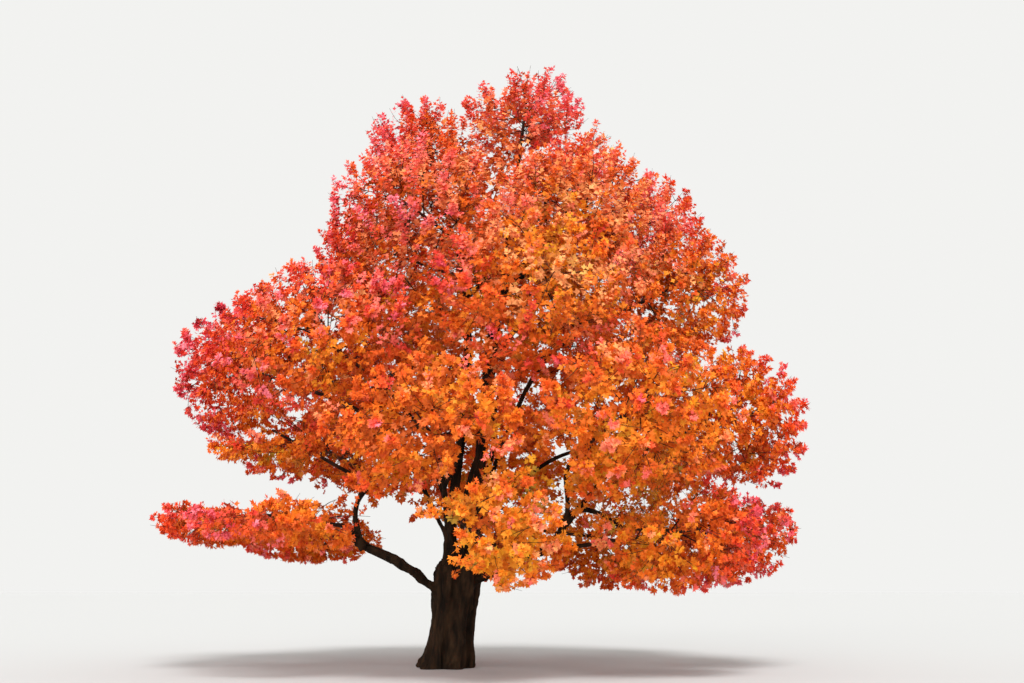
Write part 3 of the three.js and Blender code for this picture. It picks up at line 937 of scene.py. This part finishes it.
openings = (  # middles and half sizes in metres, where limbs stand bare
    ((-0.4, -3.4, 2.05), (0.85, 3.0, 1.15)),
    ((0.5, -3.4, 1.4), (0.5, 3.0, 0.42)),
    ((-0.7, 4.0, 2.4), (0.7, 3.2, 0.8)),
    ((0.52, -3.6, 3.5), (0.2, 3.0, 0.45)),
    ((-3.7, 0.0, 3.42), (1.9, 3.2, 0.46)),
    ((-3.6, -2.4, 3.32), (1.3, 2.4, 0.5)),
    ((-2.1, -3.2, 3.5), (0.75, 2.4, 0.4)),
    ((-4.75, -2.4, 3.5), (1.1, 2.4, 0.42)),
    ((-3.8, -2.4, 1.95), (1.5, 2.4, 0.42)),
    ((-3.4, -2.0, 4.42), (1.0, 2.4, 0.22)),
    ((0.65, 0.0, 12.15), (0.6, 1.6, 0.4)),
)
boxLow, boxHigh = np.array(cadLow) / metre, np.array(cadHigh) / metre


def inBox(points, room):
    return np.clip(points, boxLow + room, boxHigh - room)


def isOpen(points):
    # whether points in millimetres are in a ragged opening
    found = np.zeros(len(points), bool)
    edge = 1 + ragged["amount"] * noiseAt(points / ragged["size"], 31)
    for middle, half in openings:
        found |= lengthOf((points * metre - middle) / half) < edge
    return found


def staysClear(lines):
    # which lines keep out of the openings from their middles to their ends
    middle = lines.shape[1] // 2
    return ~isOpen(lines[:, middle:].reshape(-1, 3)).reshape(len(lines), -1).any(1)


def spreadOut(mass, shares):
    return unit((shares * mass["half"]) @ mass["axes"])


def spiral(count, firstTurn):
    index = np.arange(count)
    along = 1 - 2 * (index + 0.5) / count
    ring = np.sqrt(1 - along ** 2)
    turn = firstTurn + index * turnBetweenTwigs
    return along, np.stack([along, np.cos(turn) * ring, np.sin(turn) * ring], 1)


def archedLines(roots, middles, ends, count):
    # each line bends from its root past its middle to its end
    t = np.linspace(0, 1, count)[None, :, None]
    lines = (1 - t) ** 2 * roots[:, None] + 2 * t * (1 - t) * middles[:, None] + t ** 2 * ends[:, None]
    return inBox(lines, spray["lineRoom"])


def placesAlong(lines, low, count):
    # places on each line from a share of its length to its tip, and the way on at each
    spot = np.linspace(low, 1, count) * (lines.shape[1] - 1)
    cell = np.minimum(spot.astype(int), lines.shape[1] - 2)
    step = lines[:, cell + 1] - lines[:, cell]
    places = lines[:, cell] + step * (spot - cell)[:, None]
    return places.reshape(-1, 3), unit(step).reshape(-1, 3)


def branchFrom(places, ways, ends, rise):
    # the place that each end is best reached from: near, not behind, and from below if it rises
    gap = ends[:, None] - places
    price = lengthOf(gap) - spray["forward"] * (gap * ways).sum(2) - rise * gap[..., 2]
    best = price.argmin(1)
    return places[best], ways[best]


def growTwigs(mass, limb, order):
    # a mass's stem and the source's own twigs, by the same stream of numbers
    draw = seeded(seeds["sprays"] + order)
    for _ in range(spray["coreDraws"]):
        draw()
    firstTurn = draw() * 2 * math.pi
    rng = np.random.default_rng(seeds["sprays"] + order)
    tip = limb["at"](1.0)
    ahead = unit(tip - limb["at"](spray["tipLook"]))
    start = tip + ahead * clearGap / 2
    stemLength = lengthOf(start - mass["centre"]) + roomAlong(mass, ahead) * spray["stemPast"]
    along, shares = spiral(spray["sourceTwigs"], firstTurn)
    directions = spreadOut(mass, shares)
    ends = mass["centre"] + directions * (roomAlong(mass, directions) * spray["sourceReach"])[:, None]
    keep = directions @ ahead > spray["backward"]
    roots = start + ahead * (stemLength * (spray["twigsFrom"] + spray["twigsOver"] * along))[:, None]
    roots, ends = roots[keep], ends[keep]
    arch = lengthOf(ends - roots)[:, None] * (up * spray["lift"] + ahead * spray["bend"])
    main = archedLines(roots, (roots + ends) / 2 + arch, ends, spray["points"])
    stem = start + ahead * stemLength * np.linspace(spray["stemBack"], 1, 4)[:, None]
    return stem, main[staysClear(main)], firstTurn, rng


def aroundMass(mass, count, firstTurn, uneven, rng):
    # directions all round a mass: how much room each has, how far it points out of the crown
    # and whether it ends at a neighbour's wall
    _, shares = spiral(count, firstTurn)
    directions = unit(spreadOut(mass, shares) + rng.normal(0, uneven, shares.shape))
    room = roomAlong(mass, directions)
    edge = mass["centre"] + directions * room[:, None]
    outward = unit((edge * metre - crown["middle"]) / crown["half"])
    byWall = room < sprigs["wallFrom"] * reachAlong(mass, directions)
    return directions, room, edge, outward, (directions * outward).sum(1), byWall


def byHeight(mass, low, high):
    # a value that changes from low in the crown to high up
    share = smoothStep(mass["centre"][2], crown["lowTo"], crown["highFrom"])
    return np.array(low) * (1 - share) + np.array(high) * share


def lumpsAt(mass, edge):
    # above 0 where the crown stands out in a lump, below where it draws back
    size = byHeight(mass, sprigs["lumpLow"], sprigs["lumpHigh"])
    return noiseAt(edge / size, 21) + sprigs["tufts"] * noiseAt(edge / sprigs["tuftSize"], 22)


def growFingers(mass, main, firstTurn, rng):
    # finer twigs all round a mass, and the tips and ways of those on its outside
    directions, room, edge, _, facing, byWall = aroundMass(
        mass, fingers["each"], firstTurn + 1, fingers["uneven"], rng
    )
    outside = (facing > crown["outerFrom"]) & ~byWall
    reach, innerReach = (rng.uniform(*fingers[key], len(room)) for key in ("reach", "innerReach"))
    share = np.where(outside, reach, innerReach)
    hollow = np.clip(fingers["hollow"] * lumpsAt(mass, edge), 0, 1)
    share = share - fingers["drawnIn"] * sprigs["lumpDepth"] / room * hollow
    ends = mass["centre"] + directions * np.minimum(room * share, room - sprigs["edgeRoom"])[:, None]
    ends = inBox(ends, sprigs["edgeRoom"])
    keep = (outside | (rng.random(len(room)) < fingers["innerShare"])) & ~isOpen(ends)
    flat, rise = byHeight(mass, *fingers["flat"]), byHeight(mass, *fingers["rise"])
    axes = directions * (1, 1, flat) + up * rise + rng.normal(0, fingers["wander"], directions.shape)
    axes = unit(axes)
    ends, axes, outside = ends[keep], axes[keep], outside[keep]
    places, ways = placesAlong(main, fingers["from"], fingers["tries"])
    roots, _ = branchFrom(places, ways, ends - axes * fingers["lead"], 0)
    span = lengthOf(ends - roots)[:, None]
    lines = archedLines(roots, ends - axes * span * fingers["handle"], ends, fingers["points"])
    return lines[staysClear(lines)], ends[outside], axes[outside]


def gatherIn(ends, tips, axes, rng):
    # draws each end in to the finger it is nearest to, the more the nearer the finger's tip
    gap = ends[:, None] - tips
    back = -(gap * axes).sum(2)
    aside = gap + back[..., None] * axes
    tuft = fingers["tuft"]
    far = lengthOf(aside) + fingers["past"] * np.maximum(0, -back)
    far += fingers["behind"] * np.maximum(0, back - tuft)
    best = (np.arange(len(ends)), far.argmin(1))
    atTip = rng.uniform(0, fingers["atTip"] * tuft, len(ends))
    back = np.where(back[best] < 0, atTip, back[best])[:, None]
    narrow = fingers["narrow"] + (1 - fingers["narrow"]) * np.clip(back / tuft, 0, 1)
    return tips[best[1]] - axes[best[1]] * back + aside[best] * narrow


def growSprigs(mass, main, finer, tips, axes, firstTurn, rng):
    # where each sprig starts and ends, which way the crown's outside lies from it, whether it
    # fills the room between masses, and how far it stands out: -1 inside, up to 1 on a lump
    half = mass["half"] * metre
    count = round(sprigs["perMetre"] * 4 * math.pi * (half * np.roll(half, 1)).mean())
    directions, room, edge, outward, facing, byWall = aroundMass(
        mass, count, firstTurn + 2, sprigs["uneven"], rng
    )
    lumps = lumpsAt(mass, edge)
    innerSide = byHeight(mass, *sprigs["innerSide"])
    chance = innerSide + (1 - innerSide) * smoothStep(facing, *sprigs["facing"])
    chance = chance * np.where(byWall, sprigs["byWall"], 1.0)
    filled = smoothStep(lumps, *sprigs["hollowFrom"])
    chance = chance * (sprigs["hollows"] + (1 - sprigs["hollows"]) * filled)
    flat, uneven = sprigs["drawBack"]
    share = sprigs["reach"] - sprigs["lumpDepth"] / room * np.clip(flat - uneven * lumps, 0, 1)
    share = share + rng.uniform(-sprigs["uneven"], sprigs["uneven"], len(room))
    inside = rng.random(len(room)) < sprigs["inside"]
    share = np.where(inside, share * rng.uniform(*sprigs["insideReach"], len(room)), share)
    reach = np.minimum(room * share, room - sprigs["edgeRoom"])
    between = (facing < crown["outerFrom"]) & ~byWall & (edge[:, 2] > sprigs["lowestBetween"])
    reach = np.where(between, room * rng.uniform(*sprigs["between"], len(room)), reach)
    ends = mass["centre"] + directions * reach[:, None]
    ends = np.where(between[:, None], ends, gatherIn(ends, tips, axes, rng))
    keep = (rng.random(len(room)) < chance) & (reach > 0) & ~isOpen(ends)
    # the upper side of a pad counts as standing out, which the tints make paler and redder: painted
    # light
    upperSide = lumps - lumpsAt(mass, edge + up * sprigs["padHeight"])
    byLump, byUpper = sprigs["standOut"]
    standing = np.clip(byLump * lumps + byUpper * upperSide, sprigs["leastOut"], 1)
    standing = np.where(inside | between, -1, standing)
    ends, outward, between, standing = (a[keep] for a in (ends, outward, between, standing))
    ends = inBox(ends, sprigs["edgeRoom"])
    twigPlaces = zip(
        placesAlong(main, sprigs["fromTwig"], sprigs["tries"]),
        placesAlong(finer, sprigs["fromFiner"], sprigs["tries"]),
    )
    places, ways = (np.concatenate(both) for both in twigPlaces)
    starts, _ = branchFrom(places, ways, ends, byHeight(mass, *sprigs["rise"]))
    clear = ~isOpen(starts) & ~isOpen((starts + ends) / 2)
    clear &= lengthOf(ends - starts) < sprigs["longest"]
    return [part[clear] for part in (starts, ends, outward, between, standing)]


# a leaf of three lobes, four faces
leafOutline = np.array([(0, 0), (-0.5, 0.56), (-0.17, 0.6), (0, 1.0), (0.17, 0.6), (0.5, 0.56)])
leafFaces = np.array([(0, 2, 1), (0, 3, 2), (0, 5, 4), (0, 4, 3)])


def growLeaves(starts, ends, outward, standing, rng):
    # pairs along the last of each sprig, every other one turned across, and a leaf at its tip
    count, pairs = len(starts), leaves["pairs"]
    share = np.append(np.repeat((np.arange(pairs) + 0.5) / pairs, 2), 1.0)
    side = np.append(np.tile([1.0, -1.0], pairs), 0.0)
    quarter = np.append(np.repeat(np.arange(pairs) % 2, 2), 0) * math.pi / 2
    size = (count, len(share))
    heading = unit(ends - starts)
    leafy = np.minimum(rng.uniform(*sprigs["leafy"], count), lengthOf(ends - starts))
    back = (1 - share) * leafy[:, None] * rng.uniform(*leaves["placeUneven"], size)
    roots = ends[:, None] - heading[:, None] * back[..., None]
    across = unit(np.cross(heading, rng.normal(0, 1, heading.shape)))
    other = np.cross(heading, across)
    turn = (quarter + rng.uniform(-leaves["twist"], leaves["twist"], size))[..., None]
    lateral = (across[:, None] * np.cos(turn) + other[:, None] * np.sin(turn)) * side[:, None]
    angle = (leaves["spread"][0] + (leaves["spread"][1] - leaves["spread"][0]) * share) * degree
    angle = (angle * rng.uniform(*leaves["spreadUneven"], size) * (side != 0))[..., None]
    ahead = heading[:, None] * np.cos(angle) + lateral * np.sin(angle)
    droop = leaves["droop"] * rng.uniform(*leaves["droopUneven"], size)[..., None]
    ahead = unit(ahead - up * droop)
    facing = leaves["skyward"] * up + leaves["outward"] * outward[:, None]
    facing = facing + rng.normal(0, leaves["tilt"], (*size, 3))
    facing = unit(facing - (facing * ahead).sum(2, keepdims=True) * ahead)
    length = rng.uniform(*leaves["length"], size) * (1 - leaves["tipSmaller"] * share)
    return roots, ahead, facing, length * np.where(standing <= -1, leaves["innerSize"], 1)[:, None]


def leafMesh(roots, ahead, facing, size):
    # in metres; each leaf folds along its rib and curls down to its tip
    across = np.cross(ahead, facing)
    x, y = leafOutline[:, 0], leafOutline[:, 1]
    lift = -leaves["fold"] * np.abs(x) - leaves["curl"] * y ** 2
    points = (
        across[:, None] * x[:, None]
        + ahead[:, None] * y[:, None]
        + facing[:, None] * lift[:, None]
    ) * size[:, None, None]
    points = points + roots[:, None]
    return points.reshape(-1, 3), repeated(leafFaces, len(roots), len(leafOutline))


# Tints from gold to crimson, dealt out by sprig: more golden low and redder at the tips.
# Redder and paler where a sprig stands out on a lump or a pad's upper side, and more golden
# and duller inside: painted light and painted shade. The pale ones up high stand for light
# coming through the leaves: painted light. Each row has a tint's colour and its slot.
tints = (
    ("olive", "b98c2c", "gold"),
    ("gold", "f0a828", "gold"),
    ("amber", "f29622", "gold"),
    ("apricot", "f28620", "orange"),
    ("orange", "f0761e", "orange"),
    ("russet", "d85a16", "orange"),
    ("flame", "ef6522", "orange"),
    ("vermilion", "ed5528", "crimson"),
    ("scarlet", "e64736", "crimson"),
    ("rose", "f0606a", "crimson"),
    ("crimson", "dc3f4b", "crimson"),
    ("wine", "c43446", "crimson"),
    # pale copies of the deep tints, for lit leaves: painted light
    ("honey", "f8bd62", "gold"),
    ("peach", "f9a562", "orange"),
    ("melon", "f99058", "orange"),
    ("salmon", "f98260", "orange"),
    ("coral", "f87060", "crimson"),
    ("blush", "f67c88", "crimson"),
    # darker, duller copies for inside the crown: painted shade
    ("tawny", "c97420", "orange"),
    ("rust", "cc5c1a", "orange"),
    ("brick", "c54a26", "crimson"),
)
deepTints = 12  # how many come before the pale ones, their lit copies: painted light
shadedTints = 18  # and before the duller ones, painted shade for inside the crown
paleOf = np.array([12, 12, 13, 13, 14, 14, 15, 16, 16, 17, 17, 16])  # for each deep tint, its pale, lit copy: painted light
tintRule = {  # how red a sprig is, from 0 to 1, and how much each thing adds
    "base": 0.4,
    "height": 0.12,
    "edge": 0.24,
    "left": 0.11,
    "patches": 0.17,
    "jitter": 0.07,
    # redder where a sprig stands out and less red inside: painted light and painted shade
    "lumps": 0.13,
    "heightFrom": (2.0, 11.0),  # low and high in the crown, in metres
    "edgeFrom": (0.62, 1.0),  # where its redder edge sets in and is full
    "patchSize": (0.55, 1.3),  # for each metre
    "smallPatches": 0.5,
    "luckSize": 2.2,
    "luckAmount": 0.7,
    "luckUneven": 0.12,
    "luckWithin": (0.02, 0.98),
    "paleFrom": (4.5, 10.5),  # pale tints, painted light, come in from one height in metres to another
    "pale": 0.74,  # their share at the top and on lumps, painted light, and the dull ones' share inside, painted shade
    "litPale": 0.6,
    "shaded": 0.27,
    "blushes": (  # middle and size in metres, and how much redder it is there
        ((-0.2, -4.0, 6.0), 1.6, 0.2),
        ((5.3, -2.5, 2.7), 1.2, 0.28),
        ((-2.5, -2.0, 9.2), 1.6, 0.18),
        ((0.9, -0.5, 11.4), 1.2, -0.08),
        ((-4.0, -1.0, 2.9), 1.6, -0.16),
        ((4.6, -2.0, 9.0), 1.7, 0.1),
        ((0.9, -4.2, 3.2), 1.9, -0.07),
        ((2.0, -3.0, 8.7), 1.7, -0.12),
    ),
}


def dealTints(places, standing, rng):
    offset = (places - crown["middle"]) / crown["half"]
    height = smoothStep(places[:, 2], *tintRule["heightFrom"])
    edge = smoothStep(lengthOf(offset[:, (0, 2)]), *tintRule["edgeFrom"])
    left = np.clip(-offset[:, 0], -1, 1)
    broad, small = tintRule["patchSize"]
    patches = noiseAt(places * broad, 11) + tintRule["smallPatches"] * noiseAt(places * small, 12)
    red = (
        tintRule["base"]
        + tintRule["height"] * height
        + tintRule["edge"] * edge
        + tintRule["left"] * left
        + tintRule["patches"] * patches
        + tintRule["lumps"] * standing
        + rng.normal(0, tintRule["jitter"], len(places))
    )
    for middle, reach, amount in tintRule["blushes"]:
        red += amount * np.exp(-((places - middle) ** 2).sum(1) / reach ** 2)
    deep = np.clip((red * deepTints).astype(int), 0, deepTints - 1)
    # pale, lit copies up high and where a sprig stands out: painted light
    chance = tintRule["pale"] * smoothStep(places[:, 2], *tintRule["paleFrom"])
    chance = np.maximum(chance, tintRule["litPale"] * standing)
    luck = 0.5 + tintRule["luckAmount"] * noiseAt(places * tintRule["luckSize"], 13)
    luck = np.clip(luck + rng.normal(0, tintRule["luckUneven"], len(places)), *tintRule["luckWithin"])
    tint = np.where(luck < chance, paleOf[deep], deep)
    # duller copies inside and in hollows: painted shade
    shaded = luck > 1 + tintRule["shaded"] * standing
    return np.where(shaded, shadedTints + np.clip(deep // 3, 0, 2), tint)


def limbCloud(limbs):
    # points along the limbs, with the limbs' radii, for leaves to keep clear of
    places, radii = [], []
    for limb in limbs:
        shares = np.linspace(0, 1, max(2, math.ceil(limb["length"] / leaves["lookStep"])))
        places.append(limb["at"](shares))
        radii.append(radiusAt(limb, shares))
    return np.concatenate(places), np.concatenate(radii)


def growCrown():
    woodPlaces, woodRadii = limbCloud(boughs)
    grown = {"stems": [], "main": [], "finer": [], "sprigs": [], "leaves": []}
    for order, mass in enumerate(masses):
        limb = next(b for b in boughs if b["mass"] is mass)
        stem, main, firstTurn, rng = growTwigs(mass, limb, order)
        finer, fingerTips, axes = growFingers(mass, main, firstTurn, rng)
        starts, ends, outward, between, standing = growSprigs(
            mass, main, finer, fingerTips, axes, firstTurn, rng
        )
        roots, ahead, facing, size = growLeaves(starts, ends, outward, standing, rng)
        tint = np.broadcast_to(dealTints(ends * metre, standing, rng)[:, None], size.shape)
        roots, ahead, facing = (a.reshape(-1, 3) for a in (roots, ahead, facing))
        size, tint = size.ravel(), tint.ravel()
        tips = roots + ahead * (size / metre)[:, None]
        keep = (shareOut(mass, tips) <= leaves["edge"]) | np.repeat(between, leaves["pairs"] * 2 + 1)
        keep &= ((tips > boxLow + leaves["boxRoom"]) & (tips < boxHigh - leaves["boxRoom"])).all(1)
        keep &= ~isOpen(tips)
        near = lengthOf(woodPlaces - mass["centre"]) < mass["half"].max() + leaves["look"]
        for k in range(0, len(tips), leaves["lookAtOnce"]):
            some = slice(k, k + leaves["lookAtOnce"])
            gaps = lengthOf(tips[some, None] - woodPlaces[near])
            keep[some] &= (gaps > woodRadii[near] + leaves["limbRoom"]).all(1)
        kept = [part[keep] for part in (roots * metre, ahead, facing, size, tint)]
        for name, part in zip(grown, (stem, main, finer, np.stack([starts, ends], 1), kept)):
            grown[name].append(part)
    return grown


grown = growCrown()
foliageNodes = ["foliage_" + mass["name"] for mass in masses]


def spikes(lines, radius):
    # thin sprigs: three sides that run to a point, and a closed foot
    _, across, other = framesAlong(lines)
    ring = ringRound(across[:, 0], other[:, 0], 3)
    points = np.concatenate([lines[:, :1] + ring * radius, lines[:, 1:]], 1)
    faces = np.array([(0, 3, 1), (1, 3, 2), (2, 3, 0), (0, 1, 2)])
    return points.reshape(-1, 3), repeated(faces, len(lines), 4)


def makeTwigs():
    def taper(lines, first, last):
        return np.broadcast_to(np.linspace(first, last, lines.shape[1]), lines.shape[:2])

    stemRadius, twigRadius, finerRadius, tipRadius = spray["radii"]
    foot = bough["tipRadius"] * spray["stemFoot"]
    stems = np.stack(grown["stems"])
    main, finer = np.concatenate(grown["main"]), np.concatenate(grown["finer"])
    points, faces = gather([
        tubes(stems, taper(stems, foot, stemRadius), spray["sides"][0]),
        tubes(main, taper(main, twigRadius, tipRadius), spray["sides"][1]),
        tubes(finer, taper(finer, finerRadius, tipRadius), spray["sides"][2]),
    ])
    makePiece("twigs", points * metre, faces, twigMaterial, foliageNodes, smooth=True)
    points, faces = spikes(np.concatenate(grown["sprigs"]), sprigs["radius"])
    makePiece("sprigs", points * metre, faces, twigMaterial, foliageNodes)


makeTwigs()


def makeLeaves():
    roots, ahead, facing, size, tint = (np.concatenate(part) for part in zip(*grown["leaves"]))
    for number, (name, code, slot) in enumerate(tints):
        chosen = tint == number
        if not chosen.any():
            continue
        material, _ = newMaterial("leaves_" + name, "leaves", code)
        points, faces = leafMesh(*(part[chosen] for part in (roots, ahead, facing, size)))
        makePiece("leaves_" + name, points, faces, material, foliageNodes)
    print("leaves:", len(roots))


makeLeaves()

# Studio
studio = {
    "floorHalf": 220.0,
    "floor": "bebebd",
    "sky": "f0f0ee",
    "skyStrength": 1.02,
    "lights": {  # strength, how soft its shadows are in degrees, and where from
        "key": (2.6, 20.0, (0.1, -0.7, 1.15)),
        "fill": (1.5, 50.0, (-0.3, -1.0, 0.2)),
    },
}


def makeStudio():
    half = studio["floorHalf"]
    mesh = bpy.data.meshes.new("floor")
    corners = [(-half, -half, 0), (half, -half, 0), (half, half, 0), (-half, half, 0)]
    mesh.from_pydata(corners, [], [range(4)])
    mesh.materials.append(newMaterial("paleFloor", "floor", studio["floor"])[0])
    floor = addObject("floor", mesh)
    world = bpy.data.worlds.new("studio")
    world.use_nodes = True
    sky = {"Color": linear(studio["sky"]), "Strength": studio["skyStrength"]}
    feed(world.node_tree, world.node_tree.nodes["Background"], sky)
    bpy.context.scene.world = world
    for name, (strength, soft, place) in studio["lights"].items():
        light = bpy.data.lights.new(name, "SUN")
        light.energy = strength
        light.angle = soft * degree
        lamp = addObject(name, light)
        lamp.rotation_mode = "QUATERNION"
        lamp.rotation_quaternion = Vector(place).to_track_quat("Z", "Y")


# the camera as the photo has it: its place in metres, and lengths in the photo's pixels
eye = {"place": (1.26, -25.0, 1.6), "focal": 1250.0, "horizon": 584.0, "width": 1024, "height": 683}


def makeCamera():
    camera = bpy.data.cameras.new("camera")
    camera.lens = camera.sensor_width * eye["focal"] / eye["width"]
    camera.clip_end = 500.0
    holder = addObject("camera", camera)
    holder.location = eye["place"]
    pitch = math.atan((eye["horizon"] - eye["height"] / 2) / eye["focal"])
    holder.rotation_euler = (math.pi / 2 + pitch, 0, 0)
    bpy.context.scene.camera = holder


makeStudio()
makeCamera()
bpy.context.scene.view_settings.view_transform = "Standard"
